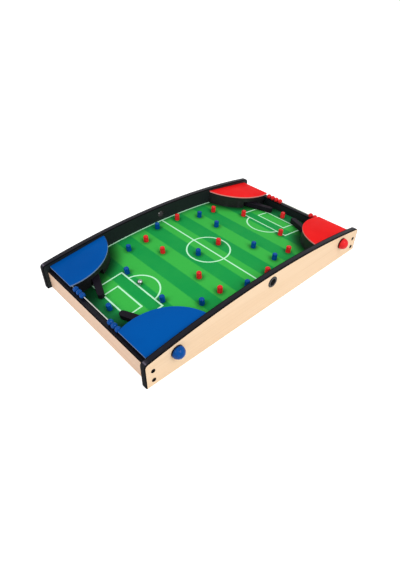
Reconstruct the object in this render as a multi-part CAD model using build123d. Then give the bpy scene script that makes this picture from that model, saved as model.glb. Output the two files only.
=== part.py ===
from build123d import *
import math
import os

# A two-player football pinball game: an open wooden tray with bowed side panels and a pitch board
# that is crowned along its length. At each end two flippers turn below quarter-round corner plates,
# pushed by dome buttons in the side panels, and beads on a wire keep the score.
# X runs from the blue end to the red end, the near side is -Y, and the tray stands on Z = 0.
# All sizes are in millimetres and all angles in degrees.

# Side panels and their black edge strips
case_length = 560.0
case_width = 330.0
panel_thickness = 12.0
rim_height_middle = 75.0
rim_height_ends = 51.0
rim_corner_radius = 8.0
edge_strip_thickness = 1.8
edge_strip_rounding = 1.0

# End panels, set back between the side panels
end_setback = 8.5
end_strip_thickness = 1.8
end_strip_rounding = 1.0

# Pitch board, let into grooves in all four panels
pitch_below_rim_middle = 32.5
pitch_below_rim_ends = 35.8
board_thickness = 4.0
groove_depth = 3.5

# Corner plates and the curved walls below them
plate_thickness = 3.0
plate_along_side = 122.0
plate_along_end = 77.0
plate_edge_radius = 97.0
plate_corner_rounding = 1.5
plate_lift = 24.3
plate_overlap = 6.0
wall_thickness = 6.0
wall_inset = 2.0

# Flippers, which are bell cranks on upright pins
flipper_length = 65.0
flipper_tip_radius = 6.2
flipper_boss_radius = 8.2
flipper_height = 10.5
flipper_rounding = 1.2
flipper_lift = 2.0
flipper_lean = 21.0
flipper_swing = 42.0
lever_arm = 11.4
tail_length = 14.5
tail_height = 7.0
tail_half_width = 3.0
pivot_inset = 57.5
pin_radius = 2.5
pin_collar_radius = 5.0
pin_head_radius = 4.5
pin_head_height = 1.2
slot_clearance = 1.2

# Dome buttons and push rods
button_inset = 60.5
button_radius = 11.6
button_reach = 14.5
button_pocket_radius = 7.0
button_pocket_depth = 7.0
button_engagement = 0.6
rod_radius = 3.0
rod_above_pitch = 15.0
rod_socket_depth = 4.0
rod_flange_radius = 5.5
rod_flange_thickness = 2.0
guide_width = 16.0
guide_thickness = 12.0
guide_inset = 14.0

# Return springs, coiled round the rods inside the buttons
spring_radius = 5.2
spring_wire_radius = 0.45
spring_turns = 5

# Pegs that stand for the players, in rows at shares of the tray's half length
peg_radius = 5.0
peg_height = 13.2
peg_rounding = 2.2
peg_tenon_radius = 3.0
keeper_row = 0.839
back_row = 0.571
wing_row = 0.418
front_row = 0.098
attack_row = 0.264
inner_pegs_from_middle = 54.0
wing_pegs_from_side = 44.0
wide_pegs_from_side = 22.0

# Score wires and beads
wire_radius = 1.0
wire_from_outer_face = 10.2
wire_grip = 5.0
bead_radius = 5.5
bead_hole_radius = 1.4
far_beads_off_plate = 4.5

# Ball-feed grommets in the middle of the side panels
grommet_below_rim = 18.0
grommet_flange_radius = 10.8
grommet_flange_thickness = 1.4
grommet_sleeve_radius = 8.6
grommet_bore_radius = 7.0

# Screws
panel_screw_head_radius = 3.8
panel_screw_head_height = 0.9
panel_screw_socket_radius = 1.7
panel_screw_shank_radius = 2.0
panel_screw_length = 34.0
panel_screw_from_bottom = 11.5
panel_screw_from_top = 5.6
corner_screw_head_radius = 2.6
corner_screw_shank_radius = 1.25
corner_screw_depth = 9.0
wall_screw_places = (0.28, 0.86)

# Steel ball
ball_radius = 5.5
ball_from_end = 118.4
ball_from_middle = 9.2

# Clearances
running_gap = 0.05
button_gap = 0.08
fit_gap = 0.1
seat_gap = 0.2
touch_gap = 0.3
stroke_spare = 0.2

# Places that follow from the driving sizes
half_length = case_length / 2
half_width = case_width / 2
inner_width = half_width - panel_thickness
end_outer_x = half_length - end_setback
end_inner_x = end_outer_x - panel_thickness
rim_rise = rim_height_middle - rim_height_ends
rim_radius = (half_length**2 + rim_rise**2) / (2 * rim_rise)
rim_centre_z = rim_height_middle - rim_radius
grommet_height = rim_height_middle - grommet_below_rim
pitch_height = rim_height_middle - pitch_below_rim_middle
pitch_rise = rim_rise - pitch_below_rim_middle + pitch_below_rim_ends
pitch_radius = (half_length**2 + pitch_rise**2) / (2 * pitch_rise)


def pitch_z(x, offset=0.0):
    """Height of the crowned pitch surface at x, or of a surface offset from it."""
    return pitch_height - pitch_radius + math.sqrt((pitch_radius + offset) ** 2 - x**2)


# The corner frame touches the pitch below the middle of a corner plate and leans with it. In it,
# x runs down the slope to the end, y to the side panel and z away from the pitch.
corner_x = end_inner_x + plate_overlap - plate_along_side / 2
corner_tilt = math.asin(corner_x / pitch_radius)
corner = Location((corner_x, 0, pitch_z(corner_x)), (0, math.degrees(corner_tilt), 0))


def corner_frame_x(x, lift):
    """The corner frame's x of a point that has that x in the tray and that lift off the pitch."""
    return (x - corner_x - lift * math.sin(corner_tilt)) / math.cos(corner_tilt)


def tray_height(x, lift):
    """The tray's z of a point of the corner frame."""
    return pitch_z(corner_x) - x * math.sin(corner_tilt) + lift * math.cos(corner_tilt)


# Corner plate: a quarter-round between the side panel, the end panel and an arc
plate_side = inner_width - seat_gap
plate_end = corner_frame_x(end_inner_x + plate_overlap, plate_lift)
plate_chord = math.hypot(plate_along_side, plate_along_end)
plate_sagitta_leg = math.sqrt(plate_edge_radius**2 - plate_chord**2 / 4)
plate_centre = (
    plate_end - plate_along_side / 2 + plate_sagitta_leg * plate_along_end / plate_chord,
    plate_side - plate_along_end / 2 + plate_sagitta_leg * plate_along_side / plate_chord,
)

# Button, rod and flipper: the rod's round tip presses on the flank of the flipper's tail, which
# swings evenly to both sides of the line through the pivot, so that rod and flipper keep a steady
# ratio.
half_swing = math.radians(flipper_swing) / 2
button_x = half_length - button_inset
button_travel = 2 * lever_arm * math.tan(half_swing)
button_bore_depth = button_engagement + button_travel + stroke_spare
rod_x = corner_frame_x(button_x, rod_above_pitch)
button_height = tray_height(rod_x, rod_above_pitch)
pivot = (rod_x - lever_arm, inner_width - pivot_inset)
tail_nose = (
    pivot[0] + tail_length * math.cos(half_swing),
    pivot[1] + tail_length * math.sin(half_swing),
)
rod_stand_off = (tail_half_width + rod_radius + touch_gap) / math.cos(half_swing)
rod_round_y = pivot[1] + rod_stand_off + lever_arm * math.tan(half_swing)
button_axis = Plane((button_x, half_width, button_height), x_dir=(1, 0, 0), z_dir=(0, 1, 0))
flipper_top = flipper_lift + flipper_height
tail_top = rod_above_pitch + tail_height / 2
tail_bottom = rod_above_pitch - tail_height / 2

# Score wire, clamped between the corner walls and the plates, and the end panel's top below its beads
wire_x = end_outer_x - wire_from_outer_face
wire_corner_x = corner_frame_x(wire_x, plate_lift)
wire_z = tray_height(wire_corner_x, plate_lift) - wire_radius - seat_gap
end_top_z = wire_z - bead_radius - seat_gap
end_panel_height = end_top_z - end_strip_thickness


def beside_plate(gap):
    """The y of the point over the wire's line that lies that far off the plate's round edge."""
    reach = plate_edge_radius + gap
    return plate_centre[1] - math.sqrt(reach**2 - (wire_corner_x - plate_centre[0]) ** 2)


wire_end_y = beside_plate(-wall_inset) + wire_grip
first_bead_y = beside_plate(bead_radius + seat_gap)
bead_step = 2 * bead_radius + seat_gap


def slab(sketch, low, high):
    """A sketch of the XY plane raised into a solid between two heights."""
    return Pos(0, 0, low) * extrude(sketch, high - low)


def to_corner(shape, end_sign, side_sign):
    """A piece of the red far corner, mirrored into another corner."""
    if end_sign < 0:
        shape = mirror(shape, about=Plane.YZ)
    if side_sign < 0:
        shape = mirror(shape, about=Plane.XZ)
    return shape


corners = {
    "blue_near": (-1, -1),
    "blue_far": (-1, 1),
    "red_near": (1, -1),
    "red_far": (1, 1),
}


def to_all_corners(shape):
    return [to_corner(shape, *signs) for signs in corners.values()]


def arch_band(top, bottom, half):
    """The strip between two arcs that follow the pitch, at offsets from its surface."""
    return make_face(
        [
            ThreePointArc(
                (-half, pitch_z(half, bottom)),
                (0, pitch_z(0, bottom)),
                (half, pitch_z(half, bottom)),
            ),
            Line((half, pitch_z(half, bottom)), (half, pitch_z(half, top))),
            ThreePointArc(
                (half, pitch_z(half, top)),
                (0, pitch_z(0, top)),
                (-half, pitch_z(half, top)),
            ),
            Line((-half, pitch_z(half, top)), (-half, pitch_z(half, bottom))),
        ]
    )


def across_tray(face, half):
    """A face drawn in x and z, extruded evenly to both sides of the middle plane."""
    return extrude(Plane.XZ * face, amount=half, both=True)


def pitch_solid(top, bottom, half_x, half_y):
    return across_tray(arch_band(top, bottom, half_x), half_y)


def tray_inside():
    """The room between the four panels, which trims the corner pieces."""
    return Box(2 * (end_inner_x - fit_gap), 2 * (inner_width - fit_gap), 4 * rim_height_middle)


def below_pitch():
    """Everything from the pitch surface down, for seating pieces on the crown."""
    return pitch_solid(0, -6 * board_thickness, half_length, half_width)


def rim_outline(inset):
    """The side panel's outline in x and z, drawn in from the ends and the bowed top."""
    half = half_length - inset
    shoulder = rim_centre_z + math.sqrt((rim_radius - inset) ** 2 - half**2)
    face = make_face(
        [
            Line((-half, 0), (half, 0)),
            Line((half, 0), (half, shoulder)),
            ThreePointArc((half, shoulder), (0, rim_height_middle - inset), (-half, shoulder)),
            Line((-half, shoulder), (-half, 0)),
        ]
    )
    top_corners = face.vertices().sort_by(Axis.Y)[-2:]
    return fillet(top_corners, rim_corner_radius - inset)


def upright(face):
    """A face drawn in x and z, raised to the far side panel's thickness."""
    plane = Plane((0, inner_width, 0), x_dir=(1, 0, 0), z_dir=(0, -1, 0))
    return extrude(plane * face, amount=panel_thickness, dir=(0, 1, 0))


def side_panel():
    """Far side panel: groove for the board, bores for the buttons, the grommet and the screws."""
    panel = upright(rim_outline(edge_strip_thickness))
    groove = pitch_solid(
        fit_gap,
        -board_thickness - fit_gap,
        end_inner_x + groove_depth,
        inner_width + groove_depth,
    )
    feed_hole = Plane((0, half_width, grommet_height), x_dir=(1, 0, 0), z_dir=(0, 1, 0))
    cuts = [groove, feed_hole * Cylinder(grommet_sleeve_radius, 3 * panel_thickness)]
    for end_sign in (-1, 1):
        cuts.append(to_corner(button_bore(), end_sign, 1))
        cuts += [to_corner(hole, end_sign, 1) for hole in panel_screw_holes()]
    return panel - cuts


def edge_strip():
    """Black strip over the far panel's bowed top and down both ends, with rounded long edges."""
    strip = upright(rim_outline(0) - rim_outline(edge_strip_thickness))
    middle = upright(rim_outline(edge_strip_thickness / 2)).bounding_box()
    crown = rim_radius - edge_strip_thickness / 2
    corner_centre_x = half_length - rim_corner_radius
    rounded = []
    for edge in strip.edges():
        point = edge @ 0.5
        radial = math.hypot(point.X, point.Z - rim_centre_z)
        at_end = abs(point.X) > middle.max.X
        on_corner = abs(point.X) > corner_centre_x and edge.geom_type == GeomType.CIRCLE
        outer_corner = on_corner and edge.radius > rim_corner_radius - edge_strip_thickness / 2
        runs_along = abs((edge @ 0).Y - (edge @ 1).Y) < 0.01 and point.Z > 0.01
        if runs_along and (at_end or radial > crown or outer_corner):
            rounded.append(edge)
    return fillet(rounded, edge_strip_rounding)


def end_panel():
    """Red end panel: groove for the board and holes for the side screws."""
    panel = Pos((end_inner_x + end_outer_x) / 2, 0, end_panel_height / 2) * Box(
        panel_thickness, 2 * inner_width, end_panel_height
    )
    groove = pitch_solid(
        fit_gap,
        -board_thickness - fit_gap,
        end_inner_x + groove_depth,
        2 * half_width,
    )
    holes = panel_screw_holes()
    holes += [mirror(hole, about=Plane.XZ) for hole in holes]
    return panel - groove - holes


def end_strip():
    """Black strip on the red end panel's top edge."""
    strip = Pos((end_inner_x + end_outer_x) / 2, 0, end_top_z - end_strip_thickness / 2) * Box(
        panel_thickness, 2 * inner_width, end_strip_thickness
    )
    long_edges = strip.faces().sort_by(Axis.Z)[-1].edges().filter_by(Axis.Y)
    return fillet(long_edges, end_strip_rounding)


def pitch_board():
    """Crowned board with holes for peg tenons, pivot pins and corner screws."""
    board = pitch_solid(
        0,
        -board_thickness,
        end_inner_x + groove_depth - fit_gap,
        inner_width + groove_depth - fit_gap,
    )
    tenon_hole = slab(Circle(peg_tenon_radius), -2 * board_thickness, board_thickness)
    pin_hole = slab(Pos(*pivot) * Circle(pin_radius), -2 * board_thickness, board_thickness)
    holes = [square_to_pitch(x, y) * tenon_hole for x, y in blue_peg_places()]
    holes += [mirror(hole, about=Plane.YZ) for hole in holes]
    holes += to_all_corners(corner * pin_hole)
    for place in corner_screw_places():
        holes += to_all_corners(corner_screw(*place, countersink=True))
    return board - holes


def corner_plate():
    """Flat quarter-round plate over the flipper's corner."""
    reach = 2 * plate_edge_radius
    disc = Pos(*plate_centre) * Circle(plate_edge_radius)
    quarter = Pos(plate_end - reach / 2, plate_side - reach / 2) * Rectangle(reach, reach)
    outline = disc & quarter
    outline = fillet(outline.vertices(), plate_corner_rounding)
    return corner * slab(outline, plate_lift, plate_lift + plate_thickness)


def wall_radii():
    outer = plate_edge_radius - wall_inset
    return outer, outer - wall_thickness


def corner_wall():
    """Curved wall from the pitch to the plate, with a slot that the flipper swings through.

    Above the end panel it runs on as a ledge that closes the gap below the plate's end edge and
    holds the score wire in a groove.
    """
    outer, inner = wall_radii()
    disc = Pos(*plate_centre) * Circle(outer)
    band = disc - Pos(*plate_centre) * Circle(inner)
    ledge_end = plate_end - wall_inset
    corner_room = Pos(ledge_end - half_length / 2, half_width / 2) * Rectangle(half_length, half_width)
    closing = Pos(ledge_end - wall_thickness / 2, half_width / 2) * Rectangle(wall_thickness, half_width)
    wall = corner * slab(band & corner_room, -2 * board_thickness, plate_lift)
    ledge = corner * slab((band + (closing & disc)) & corner_room, 0, plate_lift)
    wall = (wall & tray_inside()) + (ledge & above_end())
    cuts = [below_pitch(), corner * flipper_slot(), corner * boss_relief(), wire_groove()]
    wall = wall - cuts - [corner_screw(*place) for place in corner_screw_places()]
    return wall.solids().sort_by(SortBy.VOLUME)[-1]


def above_end():
    """The room above the red end panel, between the side panels."""
    start = end_inner_x - wall_thickness
    plan = Pos(start + half_length / 2, 0) * Rectangle(half_length, 2 * (inner_width - fit_gap))
    return slab(plan, end_top_z + fit_gap, rim_height_middle)


def wire_groove():
    """Round-bottomed groove for the score wire, open to the plate above."""
    round_bottom = Circle(wire_radius)
    section = make_hull(round_bottom.edges() + (Pos(0, -plate_thickness) * round_bottom).edges())
    return wire_axis() * slab(section, -wire_end_y, wire_end_y)


def wire_axis():
    """The middle of the red end's score wire: x across the end panel, y down and z along the wire."""
    return Plane((wire_x, 0, wire_z), x_dir=(1, 0, 0), z_dir=(0, 1, 0))


def flipper_slot():
    """Wedge-shaped window, open to the pitch, that clears the flipper over its whole swing."""
    room = flipper_boss_radius + slot_clearance
    reach = plate_edge_radius / 2
    rest = math.radians(flipper_lean)
    pressed = math.radians(flipper_lean - flipper_swing)
    near_edge = (pivot[0] + room * math.cos(rest), pivot[1] + room * math.sin(rest))
    far_edge = (pivot[0] - room * math.cos(pressed), pivot[1] - room * math.sin(pressed))
    wedge = Polygon(
        near_edge,
        far_edge,
        (far_edge[0] + reach * math.sin(pressed), far_edge[1] - reach * math.cos(pressed)),
        (near_edge[0] + reach * math.sin(rest), near_edge[1] - reach * math.cos(rest)),
        align=None,
    )
    return slab(wedge, -2 * board_thickness, flipper_top + slot_clearance)


def boss_relief():
    """Room round the flipper's boss."""
    room = Pos(*pivot) * Circle(flipper_boss_radius + slot_clearance)
    return slab(room, -2 * board_thickness, tail_top + slot_clearance)


def flipper():
    """Tapered finger, a boss on the pivot pin and a tail with a round nose for the push rod."""
    lean = math.radians(flipper_lean)
    tip = (pivot[0] + flipper_length * math.sin(lean), pivot[1] - flipper_length * math.cos(lean))
    boss_round = Pos(*pivot) * Circle(flipper_boss_radius)
    tip_round = Pos(*tip) * Circle(flipper_tip_radius)
    nose_round = Pos(*tail_nose) * Circle(tail_half_width)
    root_round = Pos(*pivot) * Circle(tail_half_width)
    finger = slab(make_hull(boss_round.edges() + tip_round.edges()), flipper_lift, flipper_top)
    ends = finger.faces().filter_by(Axis.Z)
    finger = fillet(ends.edges(), flipper_rounding)
    boss = slab(boss_round, flipper_lift, tail_top)
    tail = slab(make_hull(root_round.edges() + nose_round.edges()), tail_bottom, tail_top)
    bore = slab(Pos(*pivot) * Circle(pin_radius + running_gap), 0, plate_lift)
    return corner * (finger + boss + tail - bore)


def pivot_pin():
    """Pin through the board with a head below, a collar under the flipper and its top at the plate."""
    head_top = -board_thickness - fit_gap
    shaft = Circle(pin_radius)
    pin = slab(shaft, head_top, plate_lift - fit_gap)
    pin += slab(Circle(pin_collar_radius), 0, flipper_lift - fit_gap)
    pin += slab(Circle(pin_head_radius), head_top - pin_head_height, head_top)
    return corner * Pos(*pivot) * pin


def button_bore():
    """Counterbore for the dome button and the rod's bore through the web behind it."""
    counterbore = slab(Circle(button_radius + button_gap), -button_bore_depth, panel_thickness)
    bore = slab(Circle(rod_radius + running_gap), -2 * panel_thickness, 0)
    return button_axis * (counterbore + bore)


def button():
    """Dome on a short skirt, hollowed for the spring, with a socket for the rod."""
    pocket_floor = button_pocket_depth - button_engagement
    skirt_top = button_reach - button_radius
    profile = make_face(
        [
            Line((0, pocket_floor + rod_socket_depth), (0, button_reach)),
            CenterArc((0, skirt_top), button_radius, 0, 90),
            Line((button_radius, skirt_top), (button_radius, -button_engagement)),
            Line((button_radius, -button_engagement), (button_pocket_radius, -button_engagement)),
            Line((button_pocket_radius, -button_engagement), (button_pocket_radius, pocket_floor)),
            Line((button_pocket_radius, pocket_floor), (rod_radius, pocket_floor)),
            Line((rod_radius, pocket_floor), (rod_radius, pocket_floor + rod_socket_depth)),
            Line((rod_radius, pocket_floor + rod_socket_depth), (0, pocket_floor + rod_socket_depth)),
        ]
    )
    return button_axis * revolve(Plane.XZ * profile, Axis.Z)


def push_rod():
    """Rod from the button's socket to its round tip, with a flange that stops at the panel."""
    socket_end = button_pocket_depth - button_engagement + rod_socket_depth
    flange_face = -panel_thickness - seat_gap
    tip = rod_round_y - half_width
    rod = slab(Circle(rod_radius), tip, socket_end) + Pos(0, 0, tip) * Sphere(rod_radius)
    rod += slab(Circle(rod_flange_radius), flange_face - rod_flange_thickness, flange_face)
    return button_axis * rod


def guide_block():
    """Block that guides the rod's inner end and carries the plate."""
    outer_y = inner_width - guide_inset
    block = Pos(rod_x, outer_y - guide_thickness / 2) * Rectangle(guide_width, guide_thickness)
    block = corner * slab(block, -2 * board_thickness, plate_lift)
    bore = button_axis * slab(Circle(rod_radius + running_gap), -half_width, 0)
    return block - [below_pitch(), bore] - [corner_screw(*place) for place in corner_screw_places()]


def biarc(start, start_direction, end, end_direction):
    """Two arcs that join two points and meet in one tangent."""
    chord = end - start
    along = chord.dot(start_direction + end_direction)
    spread = 2 * (1 - start_direction.dot(end_direction))
    reach = (math.sqrt(along**2 + spread * chord.dot(chord)) - along) / spread
    middle = (start + end + (start_direction - end_direction) * reach) / 2
    first = TangentArc(start, middle, tangent=start_direction)
    second = TangentArc(middle, end, tangent=first % 1)
    return [first, second]


def return_spring():
    """Coil spring between the counterbore's floor and the button's pocket, in half-turn biarcs."""
    low = -button_bore_depth + spring_wire_radius + fit_gap
    high = button_pocket_depth - button_engagement - spring_wire_radius - fit_gap
    rise = (high - low) / spring_turns
    lead = rise / (2 * math.pi)

    def place(angle):
        return Vector(
            spring_radius * math.cos(angle),
            spring_radius * math.sin(angle),
            low + lead * angle,
        )

    def direction(angle):
        return Vector(
            -spring_radius * math.sin(angle), spring_radius * math.cos(angle), lead
        ).normalized()

    arcs = []
    for half_turn in range(2 * spring_turns):
        start = half_turn * math.pi
        end = start + math.pi
        arcs += biarc(place(start), direction(start), place(end), direction(end))
    path = Wire(arcs)
    section = Plane(place(0), z_dir=direction(0)) * Circle(spring_wire_radius)
    gap = min(abs(place(0) - place(2 * math.pi + step / 50)) for step in range(-25, 26))
    print("spring's least gap to itself", round(gap - 2 * spring_wire_radius, 2))
    return button_axis * sweep(section, path=path)


def square_to_pitch(x, y):
    """A place on the crowned pitch whose z axis stands square to it."""
    lean = math.degrees(math.asin(x / pitch_radius))
    return Location((x, y, pitch_z(x)), (0, lean, 0))


def peg(x, y):
    """Round peg with a softened top and a tenon in the board."""
    body = slab(Circle(peg_radius), 0, peg_height)
    body = fillet(body.edges().group_by(Axis.Z)[-1], peg_rounding)
    body += slab(Circle(peg_tenon_radius), fit_gap - board_thickness, 0)
    return square_to_pitch(x, y) * body


def blue_peg_places():
    """Keeper, two backs, two wings, three in front of the middle and four in the other half."""
    wing_y = inner_width - wing_pegs_from_side
    wide_y = inner_width - wide_pegs_from_side
    rows = [(-keeper_row, 0), (-front_row, 0)]
    for side in (-1, 1):
        rows += [
            (-back_row, side * inner_pegs_from_middle),
            (-wing_row, side * wing_y),
            (-front_row, side * wide_y),
            (attack_row, side * inner_pegs_from_middle),
            (attack_row, side * wing_y),
        ]
    return [(share * half_length, y) for share, y in rows]


def score_wire():
    """Straight wire over the red end panel, its ends held in the corner walls."""
    return wire_axis() * slab(Circle(wire_radius), -wire_end_y, wire_end_y)


def bead(y):
    """Round bead on the red end's wire."""
    ball = Sphere(bead_radius) - Rot(90, 0, 0) * Cylinder(bead_hole_radius, 3 * bead_radius)
    return Pos(wire_x, y, wire_z) * ball


def grommet():
    """Lined hole in the far side panel, through which the ball is fed."""
    axis = Plane((0, half_width, grommet_height), x_dir=(1, 0, 0), z_dir=(0, 1, 0))
    flange = slab(Circle(grommet_flange_radius), 0, grommet_flange_thickness)
    flange = fillet(flange.edges().group_by(Axis.Z)[-1], grommet_flange_thickness / 2)
    sleeve = slab(Circle(grommet_sleeve_radius), -panel_thickness, 0)
    bore = Cylinder(grommet_bore_radius, 4 * panel_thickness)
    return axis * (flange + sleeve - bore)


def panel_screw_pair():
    """Two screws, one above the other, through the far side panel into the red end panel."""
    screw = slab(Circle(panel_screw_head_radius), 0, panel_screw_head_height)
    screw = chamfer(screw.edges().group_by(Axis.Z)[-1], panel_screw_head_height / 2)
    screw += slab(Circle(panel_screw_shank_radius), -panel_screw_length, 0)
    socket = RegularPolygon(panel_screw_socket_radius, 6)
    screw -= slab(socket, -panel_screw_head_height, panel_screw_head_height)
    return [axis * screw for axis in panel_screw_axes()]


def panel_screw_axes():
    screw_x = (end_inner_x + end_outer_x) / 2
    heights = (panel_screw_from_bottom, end_top_z - panel_screw_from_top)
    return [
        Plane((screw_x, half_width, height), x_dir=(1, 0, 0), z_dir=(0, 1, 0))
        for height in heights
    ]


def panel_screw_holes():
    hole = slab(Circle(panel_screw_shank_radius), -panel_screw_length, panel_thickness)
    return [axis * hole for axis in panel_screw_axes()]


def corner_screw_places():
    """One screw into the guide block and two along the wall, in the corner frame."""
    outer, inner = wall_radii()
    middle = (outer + inner) / 2
    side_angle = math.pi - math.asin((plate_side - plate_centre[1]) / middle)
    end_angle = 2 * math.pi - math.acos((plate_end - plate_overlap - plate_centre[0]) / middle)
    places = [(rod_x, inner_width - guide_inset - guide_thickness / 2)]
    for share in wall_screw_places:
        angle = side_angle + share * (end_angle - side_angle)
        places.append(
            (plate_centre[0] + middle * math.cos(angle), plate_centre[1] + middle * math.sin(angle))
        )
    return places


def corner_screw(x, y, countersink=False):
    """Countersunk screw up through the board, or its hole, which is open below.

    The head is sunk so far that the board's slope at x leaves none of its rim proud.
    """
    head_height = corner_screw_head_radius - corner_screw_shank_radius
    underside = math.sqrt((pitch_radius - board_thickness) ** 2 - x**2) - pitch_radius
    slope_allowance = corner_screw_head_radius * abs(x) / pitch_radius
    head_bottom = underside + fit_gap + slope_allowance
    screw = Pos(0, 0, head_bottom + head_height / 2) * Cone(
        corner_screw_head_radius, corner_screw_shank_radius, head_height
    )
    screw += slab(Circle(corner_screw_shank_radius), head_bottom + head_height, corner_screw_depth)
    if countersink:
        screw += slab(Circle(corner_screw_head_radius), head_bottom - board_thickness, head_bottom)
    return corner * Pos(x, y, 0) * screw


def steel_ball():
    place = square_to_pitch(ball_from_end - half_length, ball_from_middle)
    return place * Pos(0, 0, ball_radius + touch_gap / 2) * Sphere(ball_radius)


def both_ends(shape):
    return {"blue": mirror(shape, about=Plane.YZ), "red": shape}


def both_sides(shape):
    return {"near": mirror(shape, about=Plane.XZ), "far": shape}


nodes = {"pitch_board": pitch_board(), "steel_ball": steel_ball()}
for side, shape in both_sides(side_panel()).items():
    nodes[f"{side}_side_panel"] = shape
for side, shape in both_sides(edge_strip()).items():
    nodes[f"{side}_edge_strip"] = shape
for side, shape in both_sides(grommet()).items():
    nodes[f"{side}_ball_grommet"] = shape
for end, shape in both_ends(end_panel()).items():
    nodes[f"{end}_end_panel"] = shape
for end, shape in both_ends(end_strip()).items():
    nodes[f"{end}_end_strip"] = shape
for end, shape in both_ends(score_wire()).items():
    nodes[f"{end}_score_wire"] = shape

corner_pieces = {
    "corner_plate": corner_plate(),
    "corner_wall": corner_wall(),
    "flipper": flipper(),
    "button": button(),
    "push_rod": push_rod(),
    "return_spring": return_spring(),
}
for piece, shape in corner_pieces.items():
    for corner_name, signs in corners.items():
        nodes[f"{corner_name}_{piece}"] = to_corner(shape, *signs)

for end, sign, far_beads, near_beads in (("blue", -1, 3, 3), ("red", 1, 4, 2)):
    rows = [first_bead_y - far_beads_off_plate - place * bead_step for place in range(far_beads)]
    rows += [place * bead_step - first_bead_y for place in reversed(range(near_beads))]
    for number, y in enumerate(rows, start=1):
        nodes[f"{end}_bead_{number}"] = to_corner(bead(y), sign, 1)

panel_screws = [shape for screw in panel_screw_pair() for shape in to_all_corners(screw)]
corner_screws = [
    shape for place in corner_screw_places() for shape in to_all_corners(corner_screw(*place))
]
blue_pegs = [peg(x, y) for x, y in blue_peg_places()]
nodes["panel_screws"] = Compound(panel_screws)
nodes["corner_screws"] = Compound(corner_screws)
nodes["pivot_pins"] = Compound(to_all_corners(pivot_pin()))
nodes["rod_guides"] = Compound(to_all_corners(guide_block()))
nodes["blue_pegs"] = Compound(blue_pegs)
nodes["red_pegs"] = Compound([mirror(shape, about=Plane.YZ) for shape in blue_pegs])

os.makedirs("parts", exist_ok=True)
for name, shape in nodes.items():
    export_step(shape, f"parts/{name}.step")
print(len(nodes), "pieces, button travel", round(button_travel, 3), "end top", round(end_top_z, 2))
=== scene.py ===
import math

import bmesh
import bpy
import numpy as np
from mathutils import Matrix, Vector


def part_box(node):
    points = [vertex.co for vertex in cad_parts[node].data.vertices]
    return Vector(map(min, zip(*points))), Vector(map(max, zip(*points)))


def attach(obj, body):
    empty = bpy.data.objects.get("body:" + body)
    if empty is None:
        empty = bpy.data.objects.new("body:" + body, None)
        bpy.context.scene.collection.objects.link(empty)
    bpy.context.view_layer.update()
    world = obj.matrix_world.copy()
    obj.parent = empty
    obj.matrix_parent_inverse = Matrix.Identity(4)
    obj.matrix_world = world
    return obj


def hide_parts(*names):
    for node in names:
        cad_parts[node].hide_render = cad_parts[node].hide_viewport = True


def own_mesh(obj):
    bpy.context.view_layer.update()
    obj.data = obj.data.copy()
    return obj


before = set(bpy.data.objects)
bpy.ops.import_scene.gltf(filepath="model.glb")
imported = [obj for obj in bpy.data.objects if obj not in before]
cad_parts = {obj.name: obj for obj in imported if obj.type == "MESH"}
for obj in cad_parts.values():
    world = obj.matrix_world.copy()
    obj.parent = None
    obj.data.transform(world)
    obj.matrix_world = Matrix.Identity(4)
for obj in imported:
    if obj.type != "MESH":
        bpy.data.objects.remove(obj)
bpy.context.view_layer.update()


# Pitch board: a thin fibreboard sheet sprung into grooves in the four panels, so that it crowns
# along its length. Its top is printed with a mown field and white lines. A darker border along the
# walls and behind the goals is partly the print's and partly painted shade, and painted shade
# darkens the grass round the pegs, in the corners behind the goals and round the corner housings.
# It is the drilled solid as it stands, bare below.
board_thickness = 0.004
print_depth = board_thickness / 8
board_low, board_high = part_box("pitch_board")
board_drop = board_high.z - board_low.z
crown_span = board_high.x**2 + board_drop**2 - board_thickness**2
crown_radius = crown_span / (2 * (board_drop - board_thickness))


def new_finish(name):
    """A material, its node tree, its shader and the place on the object that feeds patterns."""
    material = bpy.data.materials.new(name)
    material.use_nodes = True
    tree = material.node_tree
    place = tree.nodes.new("ShaderNodeTexCoord").outputs["Object"]
    return material, tree, tree.nodes["Principled BSDF"], place


def add_node(tree, kind, inputs, **options):
    """Adds a node, sets its options and feeds its inputs with numbers or other nodes' outputs."""
    node = tree.nodes.new("ShaderNode" + kind)
    for option, value in options.items():
        setattr(node, option, value)
    for socket, value in inputs.items():
        if isinstance(value, bpy.types.NodeSocket):
            tree.links.new(value, node.inputs[socket])
        else:
            node.inputs[socket].default_value = value
    return node


def calc(tree, operation, *terms):
    """One step of arithmetic on numbers or other nodes' outputs."""
    return add_node(tree, "Math", dict(enumerate(terms)), operation=operation).outputs[0]


def ramp(tree, value, start, end):
    """A smooth step from 0 to 1 as a value goes from start to end."""
    inputs = {0: value, 1: start, 2: end}
    return add_node(tree, "MapRange", inputs, interpolation_type="SMOOTHSTEP").outputs[0]


def mix_colours(tree, share, first, second):
    """Colour that goes from the first to the second with the share."""
    return add_node(tree, "Mix", {0: share, 6: first, 7: second}, data_type="RGBA").outputs[2]


def noise(tree, place, waves, detail=2.0, roughness=0.5):
    """Cloudy pattern with a number of waves per metre along each of x, y and z."""
    scaled = add_node(tree, "Mapping", {"Vector": place, "Scale": waves}).outputs[0]
    inputs = {"Vector": scaled, "Scale": 1.0, "Detail": detail, "Roughness": roughness}
    return add_node(tree, "TexNoise", inputs).outputs[0]


def between(tree, pattern, low, high):
    """A value that goes straight from low to high as a pattern goes from 0 to 1."""
    return calc(tree, "MULTIPLY_ADD", pattern, high - low, low)


relief_strength = 0.6


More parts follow.
